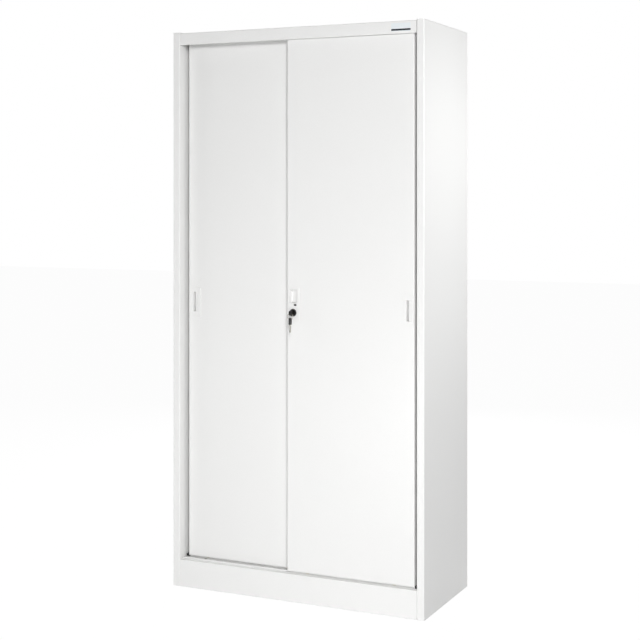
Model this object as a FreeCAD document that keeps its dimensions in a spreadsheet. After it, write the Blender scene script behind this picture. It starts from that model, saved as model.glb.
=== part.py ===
import FreeCAD, Part
import os
import re
import Sketcher

# A sheet-steel storage cabinet with two doors that slide past each other.
# Millimetres. X runs to the right, Y runs to the back and Z runs up; the origin
# is on the floor at the centre of the carcass, and both doors are shut.

# Driving dimensions. Each one is a cell of the Sizes sheet.
SIZES = {
    # Carcass
    "cabinet_width": 900,
    "cabinet_depth": 400,
    "cabinet_height": 1850,
    "panel_steel": 0.8,
    "seam_gap": 0.3,
    # Side panels: each is folded into a post at the front, and folded at the back and top
    "post_width": 25,
    "post_return": 18,
    "post_groove_inset": 16,
    "post_groove_width": 1.2,
    "post_groove_depth": 0.4,
    "post_notch_height": 3,
    "post_notch_drop": 1,
    "back_fold": 20,
    # Jamb channels nested in the posts
    "jamb_depth": 68,
    "jamb_back_flange": 18,
    # Top panel and header rail
    "header_drop": 3,
    "header_height": 39,
    "header_lip": 6,
    "header_flange": 58,
    "tray_flange": 20,
    # Plinth and bottom panel
    "plinth_height": 90,
    "plinth_ledge": 92,
    "plinth_foot": 20,
    "floor_overlap": 20,
    "rear_plinth_flange": 20,
    # Bottom rail and top guide track
    "rail_steel": 1,
    "rail_base_margin": 9,
    "rib_height": 3,
    "rib_width": 2,
    "channel_width": 8,
    "channel_height": 22,
    # Slotted uprights
    "upright_width": 30,
    "upright_height": 12,
    "front_upright_inset": 75,
    "rear_upright_inset": 10,
    "slot_pitch": 50,
    "slot_height": 12,
    "slot_width": 3,
    "first_slot": 40,
    # Shelves and their clips
    "slots_per_shelf": 7,
    "shelf_edge": 25,
    "shelf_lip": 15,
    "shelf_front_gap": 7,
    "shelf_back_gap": 4,
    "shelf_side_gap": 2,
    "stiffener_width": 40,
    "stiffener_height": 18,
    "stiffener_inset": 8,
    "clip_steel": 1.2,
    "clip_width": 16,
    "clip_reach": 16,
    "clip_leg": 20,
    "clip_fit": 0.3,
    # Doors
    "door_steel": 0.8,
    "door_thickness": 22,
    "door_recess": 10,
    "door_gap": 8,
    "door_side_gap": 11.5,
    "door_overlap": 54,
    "door_floor_gap": 6,
    "door_head_cover": 7,
    "door_lip": 12,
    "door_stiffener_width": 60,
    "door_stiffener_height": 19,
    # Rollers
    "roller_inset": 70,
    "roller_radius": 12,
    "roller_groove": 2,
    "roller_width": 8,
    "groove_floor": 2.4,
    "groove_mouth": 4,
    "axle_radius": 3,
    "running_fit": 0.05,
    "housing_steel": 1.5,
    "housing_length": 34,
    "housing_foot": 3,
    "housing_headroom": 3,
    "housing_side_gap": 0.5,
    "roller_notch_gap": 2,
    # Top guides
    "guide_length": 40,
    "guide_inset": 60,
    "guide_base_width": 16,
    "guide_base_height": 5,
    "guide_engagement": 12,
    "glide_gap": 0.3,
    # Rubber stops
    "stop_width": 12,
    "stop_height": 8,
    "guide_stop_length": 15,
    # Flush pulls
    "pull_width": 36,
    "pull_height": 97,
    "plate_steel": 2.5,
    "plate_corner": 3,
    "pull_bottom": 900,
    "left_pull_inset": 10.5,
    "right_pull_inset": 2,
    "cup_width": 17,
    "cup_height": 65,
    "cup_depth": 16,
    "cup_wall": 1.5,
    "cup_bottom_inset": 17,
    "left_cup_inset": 9,
    "right_cup_inset": 6,
    # Lock plate with its finger recess
    "lock_plate_width": 38,
    "lock_plate_height": 107,
    "lock_plate_bottom": 901,
    "lock_plate_inset": 6.5,
    "grip_width": 26,
    "grip_height": 43,
    "grip_inset": 4,
    "grip_top_inset": 5,
    # Lock
    "lock_inset": 23,
    "lock_rise": 28,
    "lock_body_width": 28,
    "lock_body_height": 26,
    "lock_body_back_gap": 4,
    "bezel_radius": 12,
    "bezel_height": 4.5,
    "lock_neck_radius": 9,
    "plug_radius": 6.5,
    "plug_front": 0.5,
    "stub_radius": 4,
    "tongue_steel": 1.8,
    "tongue_gap": 1,
    "tongue_width": 12,
    "tongue_reach": 30,
    "tongue_screw_radius": 4,
    "tongue_screw_height": 2,
    # Strike on the rear door
    "strike_steel": 1.5,
    "strike_gap": 1,
    "strike_rise": 13,
    "strike_height": 17,
    "strike_length": 25,
    "strike_reach": 6.5,
    "rivet_radius": 2.5,
    "rivet_height": 0.8,
    "rivet_inset": 5,
    "rivet_pitch": 12,
    # Keys and ring
    "key_steel": 2,
    "key_width": 8,
    "key_blade": 24,
    "key_fit": 0.1,
    "key_shank": 8,
    "key_head_length": 22,
    "key_head_width": 15,
    "key_head_thickness": 4,
    "key_head_corner": 3,
    "key_head_gap": 1,
    "key_hole_inset": 7,
    "key_hole_radius": 2,
    "ring_radius": 10,
    "ring_wire": 0.7,
    "ring_fit": 0.35,
    # Name plate
    "name_plate_width": 64,
    "name_plate_height": 26,
    "name_plate_thickness": 0.6,
    "name_plate_inset": 20,
    # Screws
    "screw_radius": 2.5,
    "screw_head_radius": 4.5,
    "screw_head_height": 1.2,
    "screw_inset": 80,
    "panel_screw_drop": 8,
    "back_screw_inset": 10,
    "back_screw_margin": 125,
    "blind_skin": 0.2,
}

# Places worked out from the sizes. A place may use the ones above it.
PLACES = {
    "side_x": "cabinet_width / 2",
    "front_y": "-cabinet_depth / 2",
    "back_y": "cabinet_depth / 2",
    "side_inner_x": "side_x - panel_steel",
    "jamb_x": "side_x - post_width",
    "jamb_back_y": "front_y + jamb_depth",
    "roof": "cabinet_height - header_drop",
    "header_top": "roof - panel_steel",
    "header_bottom": "roof - header_height",
    "ceiling": "header_top - panel_steel",
    "back_panel_y": "back_y - 2 * panel_steel",
    "floor_top": "plinth_height + panel_steel",
    "bottom_front_y": "front_y + plinth_ledge - floor_overlap",
    # Doors: the right door runs on the front track, the left one behind it
    "right_door_y": "front_y + door_recess",
    "right_door_back": "right_door_y + door_thickness",
    "left_door_y": "right_door_back + door_gap",
    "left_door_back": "left_door_y + door_thickness",
    "front_track_y": "right_door_y + door_thickness / 2",
    "rear_track_y": "left_door_y + door_thickness / 2",
    "door_edge_x": "jamb_x - door_side_gap",
    "door_meeting_x": "door_overlap / 2",
    "door_travel": "door_edge_x - door_meeting_x",
    "door_bottom": "plinth_height + door_floor_gap",
    "door_top": "header_bottom + door_head_cover",
    # Bottom rail, rollers and top channels
    "rail_top": "plinth_height + rail_steel",
    "rib_top": "rail_top + rib_height",
    "wheel_z": "rib_top + running_fit + roller_radius - roller_groove",
    "channel_top": "ceiling - rail_steel",
    "channel_bottom": "ceiling - channel_height",
    # Uprights and shelves
    "upright_x": "side_inner_x - upright_height",
    "front_upright_y": "front_y + front_upright_inset",
    "rear_upright_y": "back_panel_y - rear_upright_inset - upright_width",
    "shelf_end_x": "upright_x - shelf_side_gap",
    "shelf_front_y": "jamb_back_y + shelf_front_gap",
    "shelf_back_y": "back_panel_y - shelf_back_gap",
    # Lock and keys
    "lock_x": "lock_inset - door_meeting_x",
    "lock_z": "lock_plate_bottom + lock_rise",
    "plate_front_y": "right_door_y - plate_steel",
    "bezel_front_y": "plate_front_y - bezel_height",
    "plug_front_y": "bezel_front_y - plug_front",
    "lock_body_back_y": "right_door_back - lock_body_back_gap",
    "tongue_front_y": "right_door_back + tongue_gap",
    "tongue_back_y": "tongue_front_y + tongue_steel",
    "head_back_y": "plug_front_y - key_head_gap",
    "head_front_y": "head_back_y - key_head_length",
    "key_hole_y": "head_front_y + key_hole_inset",
    "ring_slack": "key_hole_radius - ring_wire - ring_fit",
    "ring_z": "lock_z - ring_slack - ring_radius",
    "spare_hole_z": "ring_z - ring_radius - ring_slack",
    "spare_head_top": "spare_hole_z + key_hole_inset",
    "spare_head_bottom": "spare_head_top - key_head_length",
}

doc = FreeCAD.newDocument("sliding_door_cabinet")
sheet = doc.addObject("Spreadsheet::Sheet", "Sizes")
for row, (alias, size) in enumerate(SIZES.items(), start=1):
    sheet.set(f"A{row}", alias)
    sheet.set(f"B{row}", str(size))
    sheet.setAlias(f"B{row}", alias)
doc.recompute()

SUBPARTS = []
SAME_WAY = 0.001
PLANES = {"X": "YZ_Plane", "Y": "XZ_Plane", "Z": "XY_Plane"}
ACROSS = {"X": FreeCAD.Vector(1, 0, 0), "Y": FreeCAD.Vector(0, 1, 0), "Z": FreeCAD.Vector(0, 0, 1)}
TURNS = {
    "X": FreeCAD.Rotation(FreeCAD.Vector(0, 1, 0), 90),
    "Y": FreeCAD.Rotation(FreeCAD.Vector(1, 0, 0), -90),
    "Z": FreeCAD.Rotation(),
}


def bound(text):
    """Turn a formula in plain size names into an expression on the Sizes sheet."""
    def expand(match):
        word = match.group(0)
        if word in PLACES:
            return "(" + bound(PLACES[word]) + ")"
        return "Sizes." + word if word in SIZES else word
    return re.sub(r"[a-z_]+", expand, text)


def value(text):
    """The present value of a formula in millimetres."""
    return float(sheet.evalExpression(bound(text)))


def place(thing, x="0", y="0", z="0"):
    """Bind an object's position to three formulas."""
    thing.setExpression("Placement.Base.x", bound(x))
    thing.setExpression("Placement.Base.y", bound(y))
    thing.setExpression("Placement.Base.z", bound(z))


def keep(thing, node):
    """Name a finished sub-part and list it for export."""
    thing.Label = node
    SUBPARTS.append(thing)
    return thing


def draw(sketch, corners):
    """Draw a closed outline and tie every corner to its two formulas."""
    spots = [FreeCAD.Vector(value(across), value(up), 0) for across, up in corners]
    first = sketch.GeometryCount
    count = len(corners)
    for index, spot in enumerate(spots):
        sketch.addGeometry(Part.LineSegment(spot, spots[(index + 1) % count]))
    for index in range(count):
        following = first + (index + 1) % count
        sketch.addConstraint(Sketcher.Constraint("Coincident", first + index, 2, following, 1))
    for index, (across, up) in enumerate(corners):
        for kind, text, size in (("DistanceX", across, spots[index].x), ("DistanceY", up, spots[index].y)):
            rule = sketch.addConstraint(Sketcher.Constraint(kind, -1, 1, first + index, 1, size))
            sketch.setExpression(f"Constraints[{rule}]", bound(text))


def new_sketch(body, axis, corners):
    """A sketch on the body's own plane across the given axis."""
    sketch = body.newObject("Sketcher::SketchObject", body.Name + "_outline")
    plane = next(f for f in body.Origin.OriginFeatures if f.Role == PLANES[axis])
    sketch.AttachmentSupport = [(plane, "")]
    sketch.MapMode = "FlatFace"
    draw(sketch, corners)
    return sketch


def slab(name, axis, corners, start, end):
    """Run a closed outline along an axis from start to end."""
    body = doc.addObject("PartDesign::Body", name)
    pad = body.newObject("PartDesign::Pad", name + "_pad")
    pad.Profile = new_sketch(body, axis, corners)
    pad.setExpression("Length", bound(f"({end}) - ({start})"))
    # The plane across Y faces the front, so its pad starts at the far end.
    place(body, **{axis.lower(): end if axis == "Y" else start})
    return body


def fold(name, axis, bends, inside, start, end, steel="panel_steel"):
    """Bend a sheet along its outer corners; inside is +1 where the metal lies to their left."""
    spots = [(value(across), value(up)) for across, up in bends]
    normals = []
    for (x_from, y_from), (x_to, y_to) in zip(spots, spots[1:]):
        run = abs(x_to - x_from) + abs(y_to - y_from)
        normals.append((-(y_to - y_from) / run * inside, (x_to - x_from) / run * inside))
    inner = []
    for index, (across, up) in enumerate(bends):
        near = {normals[max(index - 1, 0)], normals[min(index, len(normals) - 1)]}
        shift_across = round(sum(normal[0] for normal in near))
        shift_up = round(sum(normal[1] for normal in near))
        inner.append((f"{across} + ({shift_across}) * {steel}", f"{up} + ({shift_up}) * {steel}"))
    return slab(name, axis, bends + inner[::-1], start, end)


def soften(body, axis, radius):
    """Round the edges of a slab that run along its axis."""
    doc.recompute()
    solid = body.Tip
    names = [
        f"Edge{number}"
        for number, edge in enumerate(solid.Shape.Edges, start=1)
        if edge.tangentAt(edge.FirstParameter).cross(ACROSS[axis]).Length < SAME_WAY
    ]
    fillet = body.newObject("PartDesign::Fillet", body.Name + "_corners")
    fillet.Base = (solid, names)
    fillet.setExpression("Radius", bound(radius))
    return body


def box(name, x, y, z):
    """A block between two formulas on each axis."""
    block = doc.addObject("Part::Box", name)
    for side, (low, high) in (("Length", x), ("Width", y), ("Height", z)):
        block.setExpression(side, bound(f"({high}) - ({low})"))
    place(block, x[0], y[0], z[0])
    return block


def rod(name, axis, centre, radius, start, end):
    """A round bar along an axis; centre holds its place on the two other axes."""
    bar = doc.addObject("Part::Cylinder", name)
    bar.Placement = FreeCAD.Placement(FreeCAD.Vector(), TURNS[axis])
    bar.setExpression("Radius", bound(radius))
    bar.setExpression("Height", bound(f"({end}) - ({start})"))
    spots = dict(zip([letter for letter in "xyz" if letter != axis.lower()], centre))
    spots[axis.lower()] = start
    place(bar, **spots)
    return bar


def turned(name, corners, x, y, z):
    """Turn an outline of (radius, along) corners about a line along Y."""
    body = doc.addObject("PartDesign::Body", name)
    turning = body.newObject("PartDesign::Revolution", name + "_turning")
    turning.Profile = new_sketch(body, "Z", corners)
    turning.ReferenceAxis = (turning.Profile[0], ["V_Axis"])
    turning.Angle = 360
    place(body, x, y, z)
    return body


def cut(name, base, *tools):
    """Take the tools away from the base."""
    tool = tools[0] if len(tools) == 1 else group(name + "_tools", *tools)
    result = doc.addObject("Part::Cut", name)
    result.Base = base
    result.Tool = tool
    return result


def fuse(name, *pieces):
    """Join pieces of one solid part."""
    result = doc.addObject("Part::MultiFuse", name)
    result.Shapes = list(pieces)
    result.Refine = True
    return result


def group(name, *pieces):
    """Keep separate solids together under one name."""
    result = doc.addObject("Part::Compound", name)
    result.Links = list(pieces)
    return result


def mirrored(text):
    """The same place on the other side of the cabinet."""
    return f"-({text})"


def spread(side, near, far):
    """Two places beside the centre, in rising order, on the right (+1) or the left (-1)."""
    return (f"{near}", f"{far}") if side > 0 else (mirrored(far), mirrored(near))


# Screws come first, because the sheets are pierced by the screws themselves.
def screw(name, axis, centre, seat, facing, grip):
    """A pan-head screw: its head stands on the seat, facing +1 or -1 along the axis."""
    head_end = f"{seat} + ({facing}) * screw_head_height"
    tip = f"{seat} - ({facing}) * {grip}"
    low, high = (seat, head_end) if facing > 0 else (head_end, seat)
    head = rod(name + "_head", axis, centre, "screw_head_radius", low, high)
    low, high = (tip, seat) if facing > 0 else (seat, tip)
    shank = rod(name + "_shank", axis, centre, "screw_radius", low, high)
    return fuse(name, head, shank)


def panel_screws():
    """Screws through the end flanges of the top and bottom panels, heads inside."""
    screws = []
    for side in (-1, 1):
        for end in (-1, 1):
            along = f"({end}) * (back_y - screw_inset)"
            for level in ("roof - panel_screw_drop", "floor_top - panel_screw_drop"):
                seat = f"({side}) * (side_inner_x - panel_steel)"
                name = f"panel_screw_{len(screws)}"
                screws.append(screw(name, "X", (along, level), seat, -side, "(2 * panel_steel - blind_skin)"))
    return screws


def back_screws():
    """Screws through the back folds of the side panels into the back panel."""
    screws = []
    for side in (-1, 1):
        across = f"({side}) * (side_x - back_screw_inset)"
        for step in range(BACK_SCREW_ROWS):
            rise = f"(cabinet_height - 2 * back_screw_margin) * {step} / {BACK_SCREW_ROWS - 1}"
            level = f"back_screw_margin + {rise}"
            name = f"back_screw_{len(screws)}"
            screws.append(screw(name, "Y", (across, level), "back_y", 1, "2 * panel_steel"))
    return screws


def plinth_screws():
    """Screws up through the plinth's ledge into the bottom panel, which stays flat on top."""
    screws = []
    for step in (-1, 0, 1):
        centre = (f"({step}) * (jamb_x - screw_inset)", "bottom_front_y + floor_overlap / 2")
        seat = "(plinth_height - panel_steel)"
        grip = "(2 * panel_steel - blind_skin)"
        screws.append(screw(f"plinth_screw_{step + 1}", "Z", centre, seat, -1, grip))
    return screws


def rail_screws():
    """Screws that hold the rail on the ledge, and the track and the header to the top panel."""
    screws = []
    between = "(front_track_y + rear_track_y) / 2"
    for step in (-1, 0, 1):
        centre = (f"({step}) * (jamb_x - screw_inset)", between)
        grip = "(rail_steel + panel_steel)"
        screws.append(screw(f"rail_screw_{step + 1}", "Z", centre, "rail_top", 1, grip))
        grip = "(rail_steel + 2 * panel_steel - blind_skin)"
        screws.append(screw(f"track_screw_{step + 1}", "Z", centre, "channel_top", -1, grip))
    return screws


# Carcass
SILL = "plinth_height - post_notch_drop"


def side_panel(node, side, screws):
    """An outer wall with its front, back and top folds in one sheet."""
    bends = [
        (f"({side}) * jamb_x", "front_y + post_return"),
        (f"({side}) * jamb_x", "front_y"),
        (f"({side}) * side_x", "front_y"),
        (f"({side}) * side_x", "back_y"),
        (f"({side}) * (side_x - back_fold)", "back_y"),
    ]
    wall = fold(node + "_wall", "Z", bends, side, "0", "cabinet_height")
    run = ("front_y + panel_steel", "back_y - panel_steel")
    rise = ("cabinet_height - panel_steel", "cabinet_height")
    top = box(node + "_top", spread(side, "jamb_x + panel_steel", "side_inner_x"), run, rise)
    line = "side_x - post_groove_inset"
    across = spread(side, line, f"{line} + post_groove_width")
    run = ("front_y", "front_y + post_groove_depth")
    groove = box(node + "_groove", across, run, ("plinth_height", "cabinet_height - panel_steel"))
    run = ("front_y + panel_steel", "front_y + post_return")
    rise = (SILL, f"{SILL} + post_notch_height")
    notch = box(node + "_notch", spread(side, "jamb_x", "jamb_x + panel_steel"), run, rise)
    return keep(cut(node, fuse(node + "_folds", wall, top), groove, notch, screws), node)


def jamb_channel(node, side):
    """The channel nested in a post, which lines the opening beside the doors."""
    bends = [
        (f"({side}) * (side_inner_x - panel_steel - seam_gap)", "front_y + panel_steel"),
        (f"({side}) * (jamb_x + panel_steel)", "front_y + panel_steel"),
        (f"({side}) * (jamb_x + panel_steel)", "jamb_back_y"),
        (f"({side}) * (jamb_x + jamb_back_flange)", "jamb_back_y"),
    ]
    return keep(fold(node, "Z", bends, -side, "0", "ceiling"), node)


def back_panel(screws):
    """The flat back sheet inside the side panels' back folds."""
    blank = box(
        "back_blank",
        ("-side_inner_x + seam_gap", "side_inner_x - seam_gap"),
        ("back_panel_y", "back_y - panel_steel"),
        ("0", "ceiling"),
    )
    return keep(cut("back_panel", blank, screws), "back_panel")


def end_flanged_tray(node, level, front, *cutouts):
    """A panel with a flange folded down at each end; it runs back to the back panel."""
    bends = [
        ("-side_inner_x", f"{level} - tray_flange"),
        ("-side_inner_x", level),
        ("side_inner_x", level),
        ("side_inner_x", f"{level} - tray_flange"),
    ]
    tray = fold(node + "_tray", "Y", bends, -1, front, "back_panel_y")
    return keep(cut(node, tray, *cutouts), node)


def post_corner(side):
    """The corner of the top panel that the post's return comes up through."""
    run = ("front_y", "front_y + post_return + seam_gap")
    rise = ("roof - tray_flange", "roof")
    return box(f"post_corner_{side + 1}", spread(side, "jamb_x - seam_gap", "side_x"), run, rise)


def upright_gap(side, front):
    """The notch in the bottom panel that an upright's foot goes down through."""
    across = spread(side, "upright_x - seam_gap", "side_inner_x")
    run = (f"{front} - seam_gap", f"{front} + upright_width + seam_gap")
    return box(f"{front}_gap_{side + 1}", across, run, ("plinth_height", "floor_top"))


def header_rail(screws):
    """The rail over the doors, with a lip below and a flange under the top panel."""
    bends = [
        ("front_y + header_lip", "header_bottom"),
        ("front_y", "header_bottom"),
        ("front_y", "header_top"),
        ("front_y + header_flange", "header_top"),
    ]
    rail = fold("header_fold", "X", bends, -1, "-jamb_x + seam_gap", "jamb_x - seam_gap")
    return keep(cut("header_rail", rail, screws), "header_rail")


def front_plinth(screws):
    """The plinth under the doors, with a foot fold and the ledge that carries the rail."""
    bends = [
        ("front_y + plinth_foot", "0"),
        ("front_y", "0"),
        ("front_y", "plinth_height"),
        ("front_y + plinth_ledge", "plinth_height"),
    ]
    plinth = fold("plinth_fold", "X", bends, -1, "-jamb_x + seam_gap", "jamb_x - seam_gap")
    return keep(cut("front_plinth", plinth, screws), "front_plinth")


def rear_plinth():
    """The channel that carries the back of the bottom panel."""
    bends = [
        ("back_panel_y - rear_plinth_flange", "0"),
        ("back_panel_y", "0"),
        ("back_panel_y", "plinth_height"),
        ("back_panel_y - rear_plinth_flange", "plinth_height"),
    ]
    end = "side_inner_x - panel_steel - seam_gap"
    return keep(fold("rear_plinth", "X", bends, 1, mirrored(end), end), "rear_plinth")


def bottom_rail(screws):
    """The rail on the ledge, with one rib for each door's rollers."""
    ends = ("-jamb_x + seam_gap", "jamb_x - seam_gap")
    run = ("front_track_y - rail_base_margin", "rear_track_y + rail_base_margin")
    base = box("rail_base", ends, run, ("plinth_height", "rail_top"))
    ribs = []
    for name, track in (("front", "front_track_y"), ("rear", "rear_track_y")):
        run = (f"{track} - rib_width / 2", f"{track} + rib_width / 2")
        ribs.append(box(f"{name}_rib", ends, run, ("rail_top", "rib_top")))
    return keep(cut("bottom_rail", fuse("rail_profile", base, *ribs), screws), "bottom_rail")


def top_guide_track(screws):
    """Two channels, open below, that keep the tops of the doors in line."""
    ends = ("-jamb_x + seam_gap", "jamb_x - seam_gap")
    half = "(channel_width / 2 + rail_steel)"
    run = (f"front_track_y - {half}", f"rear_track_y + {half}")
    walls = [box("track_base", ends, run, ("channel_top", "ceiling"))]
    for name, track in (("front", "front_track_y"), ("rear", "rear_track_y")):
        for side in (-1, 1):
            inner = f"{track} + ({side}) * channel_width / 2"
            outer = f"{track} + ({side}) * {half}"
            run = (outer, inner) if side < 0 else (inner, outer)
            wall_name = f"{name}_channel_wall_{side + 1}"
            walls.append(box(wall_name, ends, run, ("channel_bottom", "channel_top")))
    return keep(cut("top_guide_track", fuse("track_profile", *walls), screws), "top_guide_track")


# Inside: slotted uprights, shelves and shelf clips
def upright(node, side, front):
    """A slotted channel on the side panel, with a slot at every pitch."""
    bends = [
        (f"({side}) * side_inner_x", front),
        (f"({side}) * upright_x", front),
        (f"({side}) * upright_x", f"{front} + upright_width"),
        (f"({side}) * side_inner_x", f"{front} + upright_width"),
    ]
    channel = fold(node + "_channel", "Z", bends, -side, "plinth_height", "roof - tray_flange - seam_gap")
    across = spread(side, "upright_x", "upright_x + panel_steel")
    middle = f"{front} + upright_width / 2"
    run = (f"{middle} - slot_width / 2", f"{middle} + slot_width / 2")
    slots = []
    pitches = int(value("(roof - tray_flange - floor_top - first_slot) / slot_pitch")) + 1
    for step in range(pitches):
        low = f"floor_top + first_slot + {step} * slot_pitch"
        slots.append(box(f"{node}_slot_{step}", across, run, (low, f"{low} + slot_height")))
    return keep(cut(node, channel, *slots), node)


def shelf_seat(number):
    """The height of the clips' tables under one shelf."""
    return f"(floor_top + first_slot + ({number} * slots_per_shelf - 1) * slot_pitch + slot_height)"


def shelf(number):
    """A shelf with its front and back edges folded down and in."""
    seat = shelf_seat(number)
    bends = [
        ("shelf_front_y + shelf_lip", seat),
        ("shelf_front_y", seat),
        ("shelf_front_y", f"{seat} + shelf_edge"),
        ("shelf_back_y", f"{seat} + shelf_edge"),
        ("shelf_back_y", seat),
        ("shelf_back_y - shelf_lip", seat),
    ]
    node = f"shelf_{number}"
    return keep(fold(node, "X", bends, -1, "-shelf_end_x", "shelf_end_x"), node)


def shelf_stiffener(number):
    """The channel spot-welded under the middle of a shelf."""
    under = f"{shelf_seat(number)} + shelf_edge - panel_steel"
    middle = "(shelf_front_y + shelf_back_y) / 2"
    bends = [
        (f"{middle} - stiffener_width / 2", under),
        (f"{middle} - stiffener_width / 2", f"{under} - stiffener_height"),
        (f"{middle} + stiffener_width / 2", f"{under} - stiffener_height"),
        (f"{middle} + stiffener_width / 2", under),
    ]
    node = f"shelf_stiffener_{number}"
    end = "shelf_end_x - stiffener_inset"
    return keep(fold(node, "X", bends, 1, mirrored(end), end), node)


def shelf_clip(name, side, front, seat):
    """A clip that hooks into a slot and carries one corner of a shelf on its table."""
    middle = f"({front} + upright_width / 2)"
    run = (f"{middle} - clip_width / 2", f"{middle} + clip_width / 2")
    hook_run = (f"{middle} - slot_width / 2 + clip_fit", f"{middle} + slot_width / 2 - clip_fit")
    leg_across = spread(side, "upright_x - clip_steel", "upright_x")
    leg = box(name + "_leg", leg_across, run, (f"{seat} - clip_leg", seat))
    table_across = spread(side, "upright_x - clip_reach", "upright_x")
    table = box(name + "_table", table_across, run, (f"{seat} - clip_steel", seat))
    hook_across = spread(side, "upright_x", "upright_x + 2 * panel_steel")
    hook_rise = (f"{seat} - slot_height + clip_fit", f"{seat} - clip_fit")
    hook = box(name + "_hook", hook_across, hook_run, hook_rise)
    return fuse(name, leg, table, hook)


def shelf_clips():
    """Four clips under every shelf."""
    clips = []
    for number in range(1, SHELVES + 1):
        for side in (-1, 1):
            for front in ("front_upright_y", "rear_upright_y"):
                clips.append(shelf_clip(f"clip_{len(clips)}", side, front, shelf_seat(number)))
    return keep(group("shelf_clips", *clips), "shelf_clips")


# Doors: the right one is +1 on the front track, the left one is -1 on the rear track
def door_span(side):
    """The two edges of a door, from low to high X."""
    return ("-door_meeting_x", "door_edge_x") if side > 0 else ("-door_edge_x", "door_meeting_x")


def door_panel(node, side, face, *cutouts):
    """A door tray: the skin, two edges with lips, and top and bottom flanges with roller notches."""
    left, right = door_span(side)
    back = f"{face} + door_thickness"
    bends = [
        (f"{left} + door_lip", back),
        (left, back),
        (left, face),
        (right, face),
        (right, back),
        (f"{right} - door_lip", back),
    ]
    tray = fold(node + "_tray", "Z", bends, 1, "door_bottom", "door_top", steel="door_steel")
    across = (f"{left} + door_steel", f"{right} - door_steel")
    run = (f"{face} + door_steel", f"{back} - door_steel")
    foot = box(node + "_foot", across, run, ("door_bottom", "door_bottom + door_steel"))
    head = box(node + "_head", across, run, ("door_top - door_steel", "door_top"))
    notches = []
    middle = f"{face} + door_thickness / 2"
    reach = "(roller_radius + roller_notch_gap)"
    width = "(roller_width / 2 + housing_side_gap)"
    for number, spot in enumerate(wheel_spots(side)):
        notches.append(box(
            f"{node}_notch_{number}",
            (f"{spot} - {reach}", f"{spot} + {reach}"),
            (f"{middle} - {width}", f"{middle} + {width}"),
            ("door_bottom", "door_bottom + door_steel"),
        ))
    return keep(cut(node, fuse(node + "_folds", tray, foot, head), *notches, *cutouts), node)


def wheel_spots(side):
    """Where a door's two rollers stand."""
    left, right = door_span(side)
    return (f"({left} + roller_inset)", f"({right} - roller_inset)")


def door_stiffener(node, side, face):
    """The hat channel that stiffens the skin from top to bottom."""
    left, right = door_span(side)
    middle = f"({left} + {right}) / 2"
    near = f"{face} + door_steel"
    far = f"{near} + door_stiffener_height"
    bends = [
        (f"{middle} - door_stiffener_width / 2", near),
        (f"{middle} - door_stiffener_width / 2", far),
        (f"{middle} + door_stiffener_width / 2", far),
        (f"{middle} + door_stiffener_width / 2", near),
    ]
    channel = fold(node, "Z", bends, -1, "door_bottom + door_steel", "door_top - door_steel")
    return keep(channel, node)


HOUSING_HALF = "(roller_width / 2 + housing_side_gap + housing_steel)"


def axle(name, spot, track):
    """A pin across a housing; the same bar bores the housing's cheeks."""
    ends = (f"{track} - {HOUSING_HALF}", f"{track} + {HOUSING_HALF}")
    return rod(name, "Y", (spot, "wheel_z"), "axle_radius", *ends)


def roller_housings(node, side, track):
    """Two hat-shaped housings on the door's bottom flange, one over each roller."""
    seat = "door_bottom + door_steel"
    crown = "wheel_z + roller_radius + housing_headroom"
    foot_top = f"{seat} + housing_steel"
    bends = [
        (f"{track} - {HOUSING_HALF} - housing_foot", foot_top),
        (f"{track} - {HOUSING_HALF}", foot_top),
        (f"{track} - {HOUSING_HALF}", crown),
        (f"{track} + {HOUSING_HALF}", crown),
        (f"{track} + {HOUSING_HALF}", foot_top),
        (f"{track} + {HOUSING_HALF} + housing_foot", foot_top),
    ]
    housings = []
    for number, spot in enumerate(wheel_spots(side)):
        ends = (f"{spot} - housing_length / 2", f"{spot} + housing_length / 2")
        hat = fold(f"{node}_hat_{number}", "X", bends, -1, *ends, steel="housing_steel")
        bore = axle(f"{node}_bore_{number}", spot, track)
        housings.append(cut(f"{node}_{number}", hat, bore))
    return keep(group(node, *housings), node)


def roller_axles(node, side, track):
    """The pins riveted across the housings."""
    pins = [axle(f"{node}_pin_{number}", spot, track) for number, spot in enumerate(wheel_spots(side))]
    return keep(group(node, *pins), node)


def roller(node, spot, track):
    """A grooved nylon wheel that straddles the rail's rib."""
    bore = "axle_radius + running_fit"
    floor = "roller_radius - roller_groove"
    outline = [
        (bore, "-roller_width / 2"),
        ("roller_radius", "-roller_width / 2"),
        ("roller_radius", "-groove_mouth / 2"),
        (floor, "-groove_floor / 2"),
        (floor, "groove_floor / 2"),
        ("roller_radius", "groove_mouth / 2"),
        ("roller_radius", "roller_width / 2"),
        (bore, "roller_width / 2"),
    ]
    return keep(turned(node, outline, spot, track, "wheel_z"), node)


def guide_spots(side):
    """The middles of a door's two top guides."""
    left, right = door_span(side)
    return (f"({left} + guide_inset)", f"({right} - guide_inset)")


def top_guides(node, side, track):
    """Two nylon blocks on the door's top flange, each with a tongue in the channel."""
    blocks = []
    tongue = "(channel_width / 2 - glide_gap)"
    seat = "door_top + guide_base_height"
    for number, spot in enumerate(guide_spots(side)):
        ends = (f"{spot} - guide_length / 2", f"{spot} + guide_length / 2")
        run = (f"{track} - guide_base_width / 2", f"{track} + guide_base_width / 2")
        base = box(f"{node}_base_{number}", ends, run, ("door_top", seat))
        run = (f"{track} - {tongue}", f"{track} + {tongue}")
        fin = box(f"{node}_fin_{number}", ends, run, (seat, "channel_bottom + guide_engagement"))
        blocks.append(fuse(f"{node}_{number}", base, fin))
    return keep(group(node, *blocks), node)


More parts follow.
